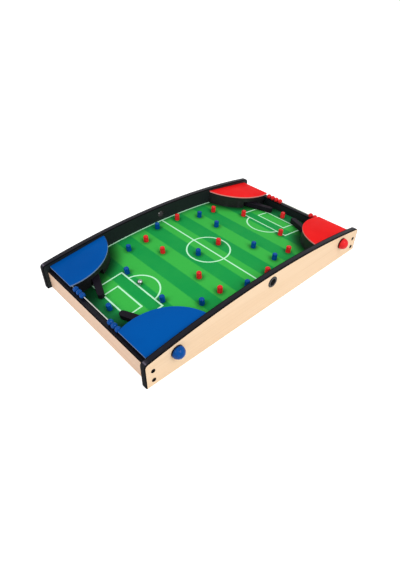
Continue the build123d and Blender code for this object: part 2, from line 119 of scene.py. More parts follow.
def give_surface(tree, shader, colour, roughness, bumps=None, depth=0.0, gloss=0.5, metal=0.0):
    """Feeds a shader its colour, its roughness and a relief whose depth is in metres.

    Its gloss and metal are the same all over, so they are set on its own sockets.
    """
    tree.links.new(colour, shader.inputs["Base Color"])
    tree.links.new(roughness, shader.inputs["Roughness"])
    if bumps is not None:
        relief = {"Height": bumps, "Distance": depth, "Strength": relief_strength}
        tree.links.new(add_node(tree, "Bump", relief).outputs[0], shader.inputs["Normal"])
    shader.inputs["Specular IOR Level"].default_value = gloss
    shader.inputs["Metallic"].default_value = metal


field_half_length = 0.2246
field_half_width = 0.1508
line_half_width = 0.0015
line_softness = 0.0002
line_grain = 0.12
circle_radius = 0.0437
penalty_edge = 0.167
penalty_half_width = 0.0625
goal_edge = 0.193
goal_half_width = 0.0369
bow_centre = 0.1747
bow_radius = 0.041
mown_bands = 13
mown_band = 2 * field_half_length / mown_bands
mown_softness = 0.14
mown_fraying = 0.5
blade_middle = 0.5
clump_level = 0.4
clump_strength = 0.9
# Where the darker border and the painted shade fall on the grass, and how strong they are.
end_fade = (field_half_length - 0.012, field_half_length + 0.02)
side_fade = (field_half_width - 0.02, field_half_width + 0.004)
side_strength = 0.7
corner_fade = (0.004, 0.052)
corner_strength = 0.85
housing_x = 0.239
housing_y = 0.169
housing_radius = 0.095
housing_shade = 0.036
housing_strength = 0.9
half_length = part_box("far_edge_strip")[1].x
inner_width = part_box("far_side_panel")[0].y
keeper_row = 0.839 * half_length
back_row = 0.571 * half_length
wing_row = 0.418 * half_length
front_row = 0.098 * half_length
attack_row = 0.264 * half_length
inner_y = 0.054
wing_y = inner_width - 0.044
wide_y = inner_width - 0.022
half_team = [(-keeper_row, 0.0), (-front_row, 0.0), (-back_row, inner_y), (-wing_row, wing_y)]
half_team += [(-front_row, wide_y), (attack_row, inner_y), (attack_row, wing_y)]
peg_radius = 0.005
peg_shade = 0.011
peg_strength = 0.75
light_grass = (0.044, 0.475, 0.066, 1)
dark_grass = (0.008, 0.325, 0.064, 1)
# The border tone is partly the print's and partly painted shade; the shaded tone is painted shade.
border_grass = (0.011, 0.19, 0.054, 1)
shaded_grass = (0.001, 0.02, 0.006, 1)
line_white = (0.58, 0.99, 0.7, 1)
bare_board = (0.3, 0.19, 0.1, 1)
bare_board_dark = (0.2, 0.12, 0.06, 1)

printed_field, tree, shader, place = new_finish("printed_field")
along, across, height = add_node(tree, "SeparateXYZ", {0: place}).outputs
from_middle = calc(tree, "ABSOLUTE", along)
from_centre_line = calc(tree, "ABSOLUTE", across)


def box_edge(start, end, half_width):
    """Distance from the outline of a box that spans start to end along the field."""
    beyond_end = calc(tree, "SUBTRACT", from_middle, (start + end) / 2)
    beyond_end = calc(tree, "SUBTRACT", calc(tree, "ABSOLUTE", beyond_end), (end - start) / 2)
    beyond_side = calc(tree, "SUBTRACT", from_centre_line, half_width)
    return calc(tree, "ABSOLUTE", calc(tree, "MAXIMUM", beyond_end, beyond_side))


def from_point(x, y):
    """Distance from a point, on all four quarters of the field alike."""
    step_x = calc(tree, "SUBTRACT", from_middle, x)
    step_y = calc(tree, "SUBTRACT", from_centre_line, y)
    squares = calc(tree, "ADD", calc(tree, "POWER", step_x, 2.0), calc(tree, "POWER", step_y, 2.0))
    return calc(tree, "SQRT", squares)


def ring(centre, radius):
    """Distance from a circle about a point of the long axis, on both halves alike."""
    return calc(tree, "ABSOLUTE", calc(tree, "SUBTRACT", from_point(centre, 0.0), radius))


inside_touchlines = calc(tree, "SUBTRACT", from_centre_line, field_half_width)
before_box = calc(tree, "SUBTRACT", from_middle, penalty_edge)
marking_distances = [
    box_edge(-field_half_length, field_half_length, field_half_width),
    calc(tree, "MAXIMUM", from_middle, inside_touchlines),
    ring(0.0, circle_radius),
    box_edge(penalty_edge, field_half_length, penalty_half_width),
    box_edge(goal_edge, field_half_length, goal_half_width),
    calc(tree, "MAXIMUM", ring(bow_centre, bow_radius), before_box),
]
nearest_line = marking_distances[0]
for distance in marking_distances[1:]:
    nearest_line = calc(tree, "MINIMUM", nearest_line, distance)
line_outside = line_half_width + line_softness
line_inside = line_half_width - line_softness
on_line = ramp(tree, nearest_line, line_outside, line_inside)
stripe = calc(tree, "COSINE", calc(tree, "MULTIPLY", along, math.pi / mown_band))
blades = noise(tree, place, waves=(500, 1400, 1400), detail=3)
clumps = noise(tree, place, waves=(24, 24, 24), detail=3)
fraying = calc(tree, "SUBTRACT", blades, blade_middle)
frayed = calc(tree, "MULTIPLY_ADD", fraying, mown_fraying, stripe)
mown = mix_colours(
    tree, ramp(tree, frayed, -mown_softness, mown_softness), dark_grass, light_grass
)
worn = calc(tree, "MULTIPLY", calc(tree, "SUBTRACT", clumps, clump_level), clump_strength)
mown = mix_colours(tree, calc(tree, "MULTIPLY", worn, blades), mown, light_grass)
# A darker border beyond the touchlines and behind the goals: partly the print's border and partly
# painted shade from the walls and ends.
behind_goal = ramp(tree, from_middle, *end_fade)
beside_field = ramp(tree, from_centre_line, *side_fade)
border = calc(tree, "MAXIMUM", behind_goal, calc(tree, "MULTIPLY", beside_field, side_strength))
mown = mix_colours(tree, border, mown, border_grass)


def shaded(grass, share, strength):
    """Grass that goes to its shaded tone with a share, by no more than a strength."""
    return mix_colours(tree, calc(tree, "MULTIPLY", share, strength), grass, shaded_grass)


# Painted shade: the grass darkens in the corners behind the goals, round the corner housings and
# round the foot of each peg.
behind_plate = ramp(tree, from_centre_line, *corner_fade)
in_corner = calc(tree, "MULTIPLY", behind_goal, behind_plate)
mown = shaded(mown, in_corner, corner_strength)
from_housing = calc(tree, "SUBTRACT", from_point(housing_x, housing_y), housing_radius)
by_housing = ramp(tree, from_housing, housing_shade, 0.0)
mown = shaded(mown, by_housing, housing_strength)
from_peg = from_point(keeper_row, 0.0)
for x, y in half_team[1:]:
    from_peg = calc(tree, "MINIMUM", from_peg, from_point(abs(x), y))
by_peg = ramp(tree, from_peg, peg_radius + peg_shade, peg_radius - peg_shade / 2)
mown = shaded(mown, by_peg, peg_strength)
lines = calc(tree, "MULTIPLY", on_line, between(tree, blades, 1 - line_grain, 1.0))
printed = mix_colours(tree, lines, mown, line_white)
along_squared = calc(tree, "POWER", along, 2.0)
drop = calc(tree, "SQRT", calc(tree, "SUBTRACT", crown_radius**2, along_squared))
surface = calc(tree, "ADD", drop, board_high.z - crown_radius)
above = calc(tree, "SUBTRACT", height, surface)
on_top = calc(tree, "GREATER_THAN", above, -print_depth)
mottle = ramp(tree, blades, start=0.35, end=0.65)
bare = mix_colours(tree, mottle, bare_board, bare_board_dark)
give_surface(
    tree,
    shader,
    colour=mix_colours(tree, on_top, bare, printed),
    roughness=between(tree, blades, 0.5, 0.62),
    bumps=blades,
    depth=0.00008,
    gloss=0.05,
)


def dress(material, *nodes):
    """Gives solids of the frame a finish."""
    for name in nodes:
        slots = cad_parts[name].data.materials
        slots.clear()
        slots.append(material)


dress(printed_field, "pitch_board")


# Side panels: clear-lacquered birch ply with the grain along the tray and the face towards the
# pitch painted black. They are the sawn solids as they stand, with their bores and grooves.
side_birch = (0.9, 0.672, 0.455, 1)
side_birch_dark = (0.75, 0.5, 0.28, 1)
# The inner black has a faint green-grey cast: black paint plus a painted reflection of the green
# pitch.
inner_black = (0.0125, 0.0175, 0.0185, 1)
paint_depth = 0.0002
fibre_strength = 0.34
cloud_strength = 0.22
half_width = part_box("far_side_panel")[1].y


def birch(name, light, dark, fibres, clouds, painted_axis, painted_within):
    """Lacquered birch with fine fibres and faint clouds, black where it faces the pitch."""
    material, tree, shader, place = new_finish(name)
    fibre = noise(tree, place, fibres, detail=4, roughness=0.6)
    cloud = noise(tree, place, clouds)
    dark_fibre = calc(tree, "MULTIPLY", ramp(tree, fibre, start=0.42, end=0.78), fibre_strength)
    dark_cloud = calc(tree, "MULTIPLY", ramp(tree, cloud, start=0.4, end=0.75), cloud_strength)
    wood = mix_colours(tree, calc(tree, "ADD", dark_fibre, dark_cloud), light, dark)
    depth = add_node(tree, "SeparateXYZ", {0: place}).outputs[painted_axis]
    bare = calc(tree, "GREATER_THAN", calc(tree, "ABSOLUTE", depth), painted_within)
    give_surface(
        tree,
        shader,
        colour=mix_colours(tree, bare, inner_black, wood),
        roughness=between(tree, fibre, 0.33, 0.58),
        bumps=fibre,
        depth=0.00006,
        gloss=0.12,
    )
    return material


side_wood = birch(
    "side_birch",
    side_birch,
    side_birch_dark,
    fibres=(7, 500, 620),
    clouds=(2.5, 30, 22),
    painted_axis=1,
    painted_within=inner_width + paint_depth,
)
dress(side_wood, "near_side_panel", "far_side_panel")


# End panels: birch boards set back between the side panels, screwed through these from outside.
# The grain runs across the tray, and their inner face is painted black too.
end_birch = (0.87, 0.615, 0.45, 1)
end_birch_dark = (0.7, 0.45, 0.29, 1)
end_inner_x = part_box("red_end_panel")[0].x
end_wood = birch(
    "end_birch",
    end_birch,
    end_birch_dark,
    fibres=(500, 7, 620),
    clouds=(30, 2.5, 22),
    painted_axis=0,
    painted_within=end_inner_x + paint_depth,
)
dress(end_wood, "blue_end_panel", "red_end_panel")


# Edge strips: extruded black edging pressed over the bowed top and down both ends of each side
# panel, with rounded long edges and a low crown. Its face is dark grey with random scuffs; painted
# shade makes its long edges and its ends blacker, and a painted glint lies across each shoulder.
strip_thickness = 0.0018
strip_rounding = 0.001
strip_crown = 0.00025
strip_dark_edge = 0.0013
edge_roughness = 0.6
round_steps = 7
face_steps = 21
shoulder_steps = 17
bow_steps = 121
weld_distance = 1e-6
crease_angle = math.radians(35)
# Share of painted shade on the ends of the strips, where they run down the panels.
end_darkness = 0.8
# Where across each shoulder the painted glint falls, and how wide it is.
glint_level = 0.9
glint_spread = 0.06
# The blackest tone is painted shade on the strips' long edges and ends; the palest is a painted
# glint on their shoulders.
edging_black = (0.0015, 0.0015, 0.0025, 1)
edging_face = (0.005, 0.0047, 0.0095, 1)
edging_worn = (0.012, 0.011, 0.018, 1)
edging_glint = (0.13, 0.11, 0.15, 1)
rim_corner_radius = 0.008
rim_end_height = 0.051
rim_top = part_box("far_edge_strip")[1].z
rim_rise = rim_top - rim_end_height
rim_radius = (half_length**2 + rim_rise**2) / (2 * rim_rise)
rim_centre_z = rim_top - rim_radius
shoulder_x = half_length - rim_corner_radius
shoulder_z = rim_centre_z + math.sqrt((rim_radius - rim_corner_radius) ** 2 - shoulder_x**2)
shoulder_angle = math.atan2(shoulder_z - rim_centre_z, shoulder_x)


def arc(centre, radius, start, end, steps):
    """Points of an arc about a centre, between two angles."""
    angle = np.linspace(start, end, steps)
    return np.stack([centre[0] + radius * np.cos(angle), centre[1] + radius * np.sin(angle)], -1)


def rim_path(inset):
    """The panel's end, shoulder, bow, shoulder and end as x and z, drawn in by an inset."""
    left_angle = math.pi - shoulder_angle
    shoulder = rim_corner_radius - inset
    inset_radius = rim_radius - inset
    return np.concatenate(
        [
            [(half_length - inset, 0)],
            arc((shoulder_x, shoulder_z), shoulder, 0, shoulder_angle, shoulder_steps),
            arc((0, rim_centre_z), inset_radius, shoulder_angle, left_angle, bow_steps)[1:-1],
            arc((-shoulder_x, shoulder_z), shoulder, left_angle, math.pi, shoulder_steps),
            [(inset - half_length, 0)],
        ]
    )


def strip_profile(width):
    """Loop of (across, inset) pairs: a flat back, two rounded edges and a crowned face.

    A third value, the share of painted shade, is 1 at the edges and 0 on the face.
    """
    turn = np.linspace(0, math.pi / 2, round_steps)
    rounded_across = width / 2 - strip_rounding * (1 - np.sin(turn))[::-1]
    rounded_inset = strip_crown + strip_rounding * (1 - np.cos(turn))[::-1]
    face_across = np.linspace(rounded_across[-1], -rounded_across[-1], face_steps)[1:-1]
    face_inset = strip_crown * (face_across / rounded_across[-1]) ** 2
    across = np.concatenate([[width / 2], rounded_across, face_across, -rounded_across[::-1]])
    inset = np.concatenate([[strip_thickness], rounded_inset, face_inset, rounded_inset[::-1]])
    across = np.append(across, -width / 2)
    inset = np.append(inset, strip_thickness)
    return across, inset, np.clip(2 - (width / 2 - np.abs(across)) / strip_dark_edge, 0, 1)


def grid_faces(rows, columns, closed_rows=False, closed_columns=False):
    """Four-sided faces of a grid of points, numbered row by row, which may close on itself."""
    row = np.arange(rows if closed_rows else rows - 1)
    column = np.arange(columns if closed_columns else columns - 1)
    row, column = np.meshgrid(row, column, indexing="ij")
    next_row = (row + 1) % rows
    next_column = (column + 1) % columns
    corners = (
        row * columns + column,
        row * columns + next_column,
        next_row * columns + next_column,
        next_row * columns + column,
    )
    return np.stack(corners, -1).reshape(-1, 4).tolist()


def end_caps(rows, columns):
    """The two many-sided faces that close a grid's first and last row."""
    last = (rows - 1) * columns
    return [list(range(columns)), list(range(last, last + columns))]


def new_piece(name, points, faces, material, slot, body="tray", replaces=(), **marks):
    """Makes a closed shell from arrays, turns its faces outwards and fixes it to its body.

    A mark is a value for each point, which the material reads as an attribute.
    """
    mesh = bpy.data.meshes.new(name)
    mesh.from_pydata(np.reshape(points, (-1, 3)).tolist(), [], faces)
    for mark, values in marks.items():
        layer = mesh.attributes.new(mark, "FLOAT", "POINT")
        layer.data.foreach_set("value", np.ravel(values).astype(np.float32))
    shell = bmesh.new()
    shell.from_mesh(mesh)
    bmesh.ops.remove_doubles(shell, verts=shell.verts, dist=weld_distance)
    bmesh.ops.recalc_face_normals(shell, faces=shell.faces)
    shell.to_mesh(mesh)
    shell.free()
    mesh.shade_smooth()
    mesh.set_sharp_from_angle(angle=crease_angle)
    mesh.materials.append(material)
    piece = bpy.data.objects.new(name, mesh)
    bpy.context.scene.collection.objects.link(piece)
    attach(piece, body)
    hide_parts(*replaces)
    return piece


satin_edging, tree, shader, place = new_finish("satin_edging")
scuff = noise(tree, place, waves=(60, 160, 160), detail=5, roughness=0.65)
skin = noise(tree, place, waves=(1500, 1500, 1500))
scuffed = mix_colours(tree, ramp(tree, scuff, start=0.45, end=0.75), edging_face, edging_worn)
at_edge = add_node(tree, "Attribute", {}, attribute_name="at_edge").outputs["Fac"]
at_shoulder = add_node(tree, "Attribute", {}, attribute_name="at_shoulder").outputs["Fac"]
# Painted shade: the long edges and the ends go to the blackest tone.
edge_darkened = mix_colours(tree, at_edge, scuffed, edging_black)
face_roughness = between(tree, scuff, 0.3, 0.52)
give_surface(
    tree,
    shader,
    # A painted glint lightens the shoulders.
    colour=mix_colours(tree, at_shoulder, edge_darkened, edging_glint),
    roughness=calc(tree, "MULTIPLY_ADD", at_edge, edge_roughness, face_roughness),
    bumps=skin,
    depth=0.00004,
    gloss=0.14,
)

strip_across, strip_inset, strip_edge = strip_profile(half_width - inner_width)
rim_paths = np.stack([rim_path(inset) for inset in strip_inset], 1)
rim_rows, rim_columns = rim_paths.shape[:2]
rim_step_x, rim_step_z = np.gradient(rim_paths[:, 0], axis=0).T
rim_level = np.abs(rim_step_x) / np.hypot(rim_step_x, rim_step_z)
on_shoulder = np.abs(rim_paths[:, 0, 0]) > shoulder_x
# A painted glint: a pale band across each shoulder, where the bow turns down to the end.
shoulder_glint = on_shoulder * np.exp(-(((rim_level - glint_level) / glint_spread) ** 2))
# Painted shade: the long edges, and the ends where the strip runs down the panel, go towards black.
rim_edge = np.maximum(strip_edge, end_darkness * (1 - rim_level[:, None]))
for side, side_sign in (("near", -1), ("far", 1)):
    middle_y = side_sign * (inner_width + half_width) / 2
    strip_y = np.broadcast_to(middle_y + strip_across, rim_paths.shape[:2])
    strip_points = np.stack([rim_paths[..., 0], strip_y, rim_paths[..., 1]], -1)
    strip_faces = grid_faces(rim_rows, rim_columns, closed_columns=True)
    new_piece(
        f"{side}_edging",
        strip_points,
        strip_faces + end_caps(rim_rows, rim_columns),
        satin_edging,
        "black_edging",
        replaces=[f"{side}_edge_strip"],
        at_edge=rim_edge,
        at_shoulder=shoulder_glint[:, None] * (1 - strip_edge),
    )


# End strips: the same black edging on the top edge of each end panel, cut square between the side
# panels.
end_strip_low, end_strip_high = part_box("red_end_strip")
end_across, end_inset, end_edge = strip_profile(end_strip_high.x - end_strip_low.x)
run_steps = 9
run = np.linspace(end_strip_low.y, end_strip_high.y, run_steps)
for end, end_sign in (("blue", -1), ("red", 1)):
    middle_x = end_sign * (end_strip_low.x + end_strip_high.x) / 2
    shape = (len(run), len(end_across))
    strip_points = np.stack(
        [
            np.broadcast_to(middle_x + end_across, shape),
            np.broadcast_to(run[:, None], shape),
            np.broadcast_to(end_strip_high.z - end_inset, shape),
        ],
        -1,
    )
    strip_faces = grid_faces(*shape, closed_columns=True) + end_caps(*shape)
    new_piece(
        f"{end}_end_edging",
        strip_points,
        strip_faces,
        satin_edging,
        "black_edging",
        replaces=[f"{end}_end_strip"],
        at_edge=np.broadcast_to(end_edge, shape),
    )


# Corner walls: curved black mouldings that stand on the pitch and carry the plates, screwed up
# through the board. A slot lets the flipper swing out, and a ledge by the end holds the wire.
moulding_black = (0.005, 0.005, 0.006, 1)
moulding_rubbed = (0.014, 0.014, 0.017, 1)
corners = {
    "blue_near": (-1, -1),
    "blue_far": (-1, 1),
    "red_near": (1, -1),
    "red_far": (1, 1),
}


def moulding(name, black, rubbed_black, gloss):
    """Fine-grained black moulding with paler rubbed patches."""
    material, tree, shader, place = new_finish(name)
    moulded = noise(tree, place, waves=(900, 900, 900), detail=3)
    paler_patch = noise(tree, place, waves=(70, 70, 70), detail=4)
    give_surface(
        tree,
        shader,
        colour=mix_colours(tree, ramp(tree, paler_patch, start=0.5, end=0.8), black, rubbed_black),
        roughness=between(tree, paler_patch, 0.35, 0.6),
        bumps=moulded,
        depth=0.00006,
        gloss=gloss,
    )
    return material


fine_moulding = moulding("fine_moulding", moulding_black, moulding_rubbed, gloss=0.4)
dress(fine_moulding, *[f"{corner}_corner_wall" for corner in corners])


# Flippers and the hardware below the plates: black nylon bell cranks on steel pins, drawn steel
# push rods, and sanded wood blocks that guide the rods and carry the plates.
nylon_black = (0.0085, 0.0068, 0.0115, 1)
nylon_rubbed = (0.0145, 0.012, 0.0185, 1)
steel_grey = (0.7, 0.7, 0.65, 1)
steel_dark = (0.46, 0.46, 0.43, 1)
guide_light = (0.6, 0.42, 0.25, 1)
guide_dark = (0.42, 0.27, 0.14, 1)
drawn_steel, tree, shader, place = new_finish("drawn_steel")
drawn = noise(tree, place, waves=(1500, 160, 1500), detail=3)
give_surface(
    tree,
    shader,
    colour=mix_colours(tree, drawn, steel_grey, steel_dark),
    roughness=between(tree, drawn, 0.2, 0.45),
    bumps=drawn,
    depth=0.00003,
    metal=1.0,
)

sanded_wood, tree, shader, place = new_finish("sanded_wood")
sanded = noise(tree, place, waves=(300, 300, 12), detail=4)
give_surface(
    tree,
    shader,
    colour=mix_colours(tree, ramp(tree, sanded, start=0.35, end=0.75), guide_light, guide_dark),
    roughness=between(tree, sanded, 0.55, 0.75),
    bumps=sanded,
    depth=0.00008,
)

flipper_nylon = moulding("flipper_nylon", nylon_black, nylon_rubbed, gloss=0.06)
dress(sanded_wood, "rod_guides")
dress(drawn_steel, "pivot_pins", "corner_screws")
for corner in corners:
    dress(flipper_nylon, f"{corner}_flipper")
    dress(drawn_steel, f"{corner}_push_rod")


# Corner plates: quarter-rounds of thin board over the flippers' corners, lacquered blue at one end
# and red at the other. They are paler on their rounded top edges and their sides than on their top
# face.
plate_along_side = 0.122
plate_along_end = 0.077
plate_overlap = 0.006
plate_edge_radius = 0.097
plate_lift = 0.0243
plate_seat = 0.0002
plate_thickness = 0.003
plate_corner_rounding = 0.0015
plate_edge_softness = 0.0006
plate_corner_steps = 9
plate_tip_steps = 13
plate_edge_steps = 97
plate_soft_steps = 5


def crown(x):
    """Height of the crowned pitch at x: an arc whose top is the board's."""
    return board_high.z - crown_radius + np.sqrt(crown_radius**2 - x**2)


corner_x = end_inner_x + plate_overlap - plate_along_side / 2
corner_z = crown(corner_x)
corner_tilt = math.asin(corner_x / crown_radius)
tilt_cosine = math.cos(corner_tilt)
tilt_sine = math.sin(corner_tilt)
plate_side = inner_width - plate_seat
plate_overhang = end_inner_x + plate_overlap - corner_x - plate_lift * tilt_sine
plate_end = plate_overhang / tilt_cosine
plate_chord = math.hypot(plate_along_side, plate_along_end)
centre_distance = math.sqrt(plate_edge_radius**2 - plate_chord**2 / 4)
plate_centre = (
    plate_end - plate_along_side / 2 + centre_distance * plate_along_end / plate_chord,
    plate_side - plate_along_end / 2 + centre_distance * plate_along_side / plate_chord,
)


def from_corner(x, y, z, end_sign, side_sign):
    """From a corner's frame, which leans with the pitch, to the tray, mirrored into its corner."""
    along = corner_x + x * tilt_cosine + z * tilt_sine
    up = corner_z - x * tilt_sine + z * tilt_cosine
    return np.stack(np.broadcast_arrays(end_sign * along, side_sign * y, up), -1)


def plate_outline():
    """Anchor and normal of each point: the outline is anchor + (rounding - inset) * normal."""
    x = plate_end - plate_corner_rounding
    y = plate_side - plate_corner_rounding
    radius = plate_edge_radius - plate_corner_rounding
    at_side = (plate_centre[0] - math.sqrt(radius**2 - (y - plate_centre[1]) ** 2), y)
    at_end = (x, plate_centre[1] - math.sqrt(radius**2 - (x - plate_centre[0]) ** 2))
    side_angle = math.pi + math.asin((plate_centre[1] - y) / radius)
    end_angle = 2 * math.pi - math.acos((x - plate_centre[0]) / radius)
    turns = [
        np.linspace(0, math.pi / 2, plate_corner_steps),
        np.linspace(math.pi / 2, side_angle, plate_tip_steps),
        np.linspace(side_angle, end_angle, plate_edge_steps),
        np.linspace(end_angle, 2 * math.pi, plate_tip_steps),
    ]
    anchors = [
        np.broadcast_to((x, y), (plate_corner_steps, 2)),
        np.broadcast_to(at_side, (plate_tip_steps, 2)),
        arc(plate_centre, radius, side_angle, end_angle, plate_edge_steps),
        np.broadcast_to(at_end, (plate_tip_steps, 2)),
    ]
    angle = np.concatenate(turns)
    return np.concatenate(anchors), np.stack([np.cos(angle), np.sin(angle)], -1)


def lacquer(name, face_colour, deep_colour, edge_colour):
    """Satin lacquer with faint brush clouds and a fine orange peel, paler on the sides."""
    material, tree, shader, place = new_finish(name)
    cloud = noise(tree, place, waves=(14, 14, 14), detail=3)
    peel = noise(tree, place, waves=(700, 700, 700))
    face = mix_colours(tree, ramp(tree, cloud, start=0.35, end=0.7), face_colour, deep_colour)
    cut_edge = add_node(tree, "Attribute", {}, attribute_name="cut_edge").outputs["Fac"]
    paler_patch = calc(tree, "MULTIPLY", cut_edge, between(tree, peel, 0.55, 1.05))
    give_surface(
        tree,
        shader,
        colour=mix_colours(tree, paler_patch, face, edge_colour),
        roughness=between(tree, cloud, 0.38, 0.53),
        bumps=peel,
        depth=0.00005,
        gloss=0.025,
    )
    return material


lacquers = {
    "blue": lacquer(
        "blue_plate",
        face_colour=(0.0, 0.09, 0.385, 1),
        deep_colour=(0.0, 0.076, 0.34, 1),
        edge_colour=(0.24, 0.33, 0.48, 1),
    ),
    "red": lacquer(
        "red_plate",
        face_colour=(0.92, 0.011, 0.012, 1),
        deep_colour=(0.84, 0.008, 0.009, 1),
        edge_colour=(0.85, 0.35, 0.33, 1),
    ),
}
plate_anchors, plate_normals = plate_outline()
soft_turn = np.linspace(0, math.pi / 2, plate_soft_steps)
soft_inset = plate_edge_softness * (1 - np.sin(soft_turn))
soft_height = plate_edge_softness * (1 - np.cos(soft_turn))
plate_inset = np.concatenate([soft_inset, soft_inset[::-1]])
plate_height = np.concatenate([soft_height, plate_thickness - soft_height[::-1]])
plate_reach = (plate_corner_rounding - plate_inset)[:, None, None]
plate_xy = plate_anchors + plate_reach * plate_normals
plate_z = np.broadcast_to((plate_lift + plate_height)[:, None], plate_xy.shape[:2])
plate_shape = plate_xy.shape[:2]
# Share of the paler tone: 1 on the sides and the underside, 0 on the top face.
plate_pale_side = np.clip((plate_thickness - plate_height) / plate_edge_softness, 0, 1)
for corner, signs in corners.items():
    end = corner.partition("_")[0]
    new_piece(
        f"{corner}_plate",
        from_corner(plate_xy[..., 0], plate_xy[..., 1], plate_z, *signs),
        grid_faces(*plate_shape, closed_columns=True) + end_caps(*plate_shape),
        lacquers[end],
        f"{end}_lacquer",
        replaces=[f"{corner}_corner_plate"],
        cut_edge=np.broadcast_to(plate_pale_side[:, None], plate_shape),
    )


# Dome buttons: turned and glossy, each in a counterbore of the side panel and pressed on its push
# rod. A ring of painted shade darkens each one where it goes into the bore, and they are hollow
# behind for the return spring.
button_low, button_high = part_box("red_far_button")
button_x = (button_low.x + button_high.x) / 2
button_z = (button_low.z + button_high.z) / 2
button_radius = (button_high.x - button_low.x) / 2
button_skirt = -0.0006
button_pocket_radius = 0.007
button_pocket_depth = 0.007
button_reach = button_high.y - half_width
seat_line = 0.0042
skirt_steps = 7


def turned(profile, closed=False, segments=64):
    """A profile of (radius, height) pairs turned round the z axis."""
    angle = np.linspace(0, 2 * math.pi, segments, endpoint=False)
    radius, height = np.asarray(profile).T[:, :, None]
    points = np.stack(
        np.broadcast_arrays(radius * np.cos(angle), radius * np.sin(angle), height), -1
    )
    return points, grid_faces(len(profile), segments, closed_rows=closed, closed_columns=True)


def glossy(name, colour, shade, seat_shade):
    """Glossy paint over turned wood: faint depth, a soft unevenness and a line of painted shade at
    a seat.
    """
    material, tree, shader, place = new_finish(name)
    cloud = noise(tree, place, waves=(160, 160, 160), detail=3)
    dimple = noise(tree, place, waves=(420, 420, 420))
    at_seat = add_node(tree, "Attribute", {}, attribute_name="at_seat").outputs["Fac"]
    paint = mix_colours(tree, ramp(tree, cloud, start=0.3, end=0.75), colour, shade)
    give_surface(
        tree,
        shader,
        colour=mix_colours(tree, at_seat, paint, seat_shade),
        roughness=between(tree, cloud, 0.07, 0.17),
        bumps=dimple,
        depth=0.00002,
        gloss=0.1,
    )
    return material


gloss_paints = {
    "blue": glossy(
        "blue_paint",
        colour=(0.0, 0.076, 0.34, 1),
        shade=(0.0, 0.054, 0.255, 1),
        seat_shade=(0.0, 0.002, 0.012, 1),
    ),
    "red": glossy(
        "red_paint",
        colour=(0.82, 0.024, 0.027, 1),
        shade=(0.64, 0.016, 0.019, 1),
        seat_shade=(0.05, 0.001, 0.002, 1),
    ),
}
dome_base = button_reach - button_radius
skirt_heights = np.linspace(dome_base, 0, skirt_steps)[1:]
button_profile = np.concatenate(
    [
        arc((0, dome_base), button_radius, math.pi / 2, 0, steps=33),
        np.stack([np.full_like(skirt_heights, button_radius), skirt_heights], -1),
        [(button_radius, button_skirt), (button_pocket_radius, button_skirt)],
        [(button_pocket_radius, button_skirt + button_pocket_depth)],
        [(0, button_skirt + button_pocket_depth)],
    ]
)
button_points, button_faces = turned(button_profile)
# Painted shade: the skirt of each dome darkens towards the bore.
button_seat = np.clip((seat_line - button_points[..., 2]) / (seat_line / 2), 0, 1)
for corner, (end_sign, side_sign) in corners.items():
    x, y, z = np.moveaxis(button_points, -1, 0)
    end = corner.partition("_")[0]
    new_piece(
        f"{corner}_dome",
        np.stack([end_sign * button_x + x, side_sign * (half_width + z), button_z + y], -1),
        button_faces,
        gloss_paints[end],
        f"{end}_gloss",
        body=f"{corner}_button",
        replaces=[f"{corner}_button"],
        at_seat=button_seat,
    )


# Return springs: coiled steel wire round each push rod, between the floor of the counterbore and
# the dome's pocket.
spring_turns = 5
steps_per_turn = 24
wire_sides = 10
spring_wire_radius = 0.00045
spring_low, spring_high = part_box("red_far_return_spring")
spring_radius = (spring_high.x - spring_low.x) / 2 - spring_wire_radius


def coil(radius, start, end):
    """A round section carried along a helix about the z axis that rises from start to end."""
    full_turn = 2 * math.pi * spring_turns
    turn = np.linspace(0, full_turn, steps_per_turn * spring_turns + 1)[:, None]
    section = np.linspace(0, 2 * math.pi, wire_sides, endpoint=False)
    lead = (end - start) / full_turn
    slope = math.atan2(lead, radius)
    outward = radius + spring_wire_radius * np.cos(section)
    upward = spring_wire_radius * np.sin(section)
    leaned = upward * math.sin(slope)
    x = outward * np.cos(turn) + leaned * np.sin(turn)
    y = outward * np.sin(turn) - leaned * np.cos(turn)
    return x, y, start + lead * turn + upward * math.cos(slope)


coil_x, coil_y, coil_z = coil(
    spring_radius, spring_low.y + spring_wire_radius, spring_high.y - spring_wire_radius
)
coil_faces = grid_faces(*coil_x.shape, closed_columns=True) + end_caps(*coil_x.shape)
for corner, (end_sign, side_sign) in corners.items():
    spring = new_piece(
        f"{corner}_coil",
        np.stack([end_sign * button_x + coil_x, side_sign * coil_z, button_z + coil_y], -1),
        coil_faces,
        drawn_steel,
        "steel",
        replaces=[f"{corner}_return_spring"],
    )
    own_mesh(spring)


# Pegs: painted dowels with softened tops that stand for the players. A tenon holds each one in the
# board, square to the crowned pitch.
peg_height = 0.0132
peg_rounding = 0.0022
tenon_radius = 0.003
tenon_depth = 0.0039
peg_places = np.array(half_team + [(x, -y) for x, y in half_team if y])
peg_top = (peg_radius - peg_rounding, peg_height - peg_rounding)
peg_profile = np.concatenate(
    [
        [(0, peg_height)],
        arc(peg_top, peg_rounding, math.pi / 2, 0, steps=9),
        [(peg_radius, 0), (tenon_radius, 0), (tenon_radius, -tenon_depth), (0, -tenon_depth)],
    ]
)
peg_points, peg_faces = turned(peg_profile, segments=40)
peg_points = peg_points.reshape(-1, 3)


def standing_pegs(mirrored):
    """Every peg of one colour, leaned to stand square to the crown, or the mirror of that."""
    x, y = peg_places.T[:, :, None]
    sine = x / crown_radius
    cosine = np.sqrt(1 - sine**2)
    local_x, local_y, local_z = peg_points.T
    along = x + local_x * cosine + local_z * sine
    up = crown(x) - local_x * sine + local_z * cosine
    return np.stack(np.broadcast_arrays(mirrored * along, y + local_y, up), -1)


all_peg_faces = np.array(peg_faces) + len(peg_points) * np.arange(len(peg_places))[:, None, None]
for end, mirrored in (("blue", 1), ("red", -1)):
    new_piece(
        f"{end}_players",
        standing_pegs(mirrored),
        all_peg_faces.reshape(-1, 4).tolist(),
        gloss_paints[end],
        f"{end}_gloss",
        replaces=[f"{end}_pegs"],
    )


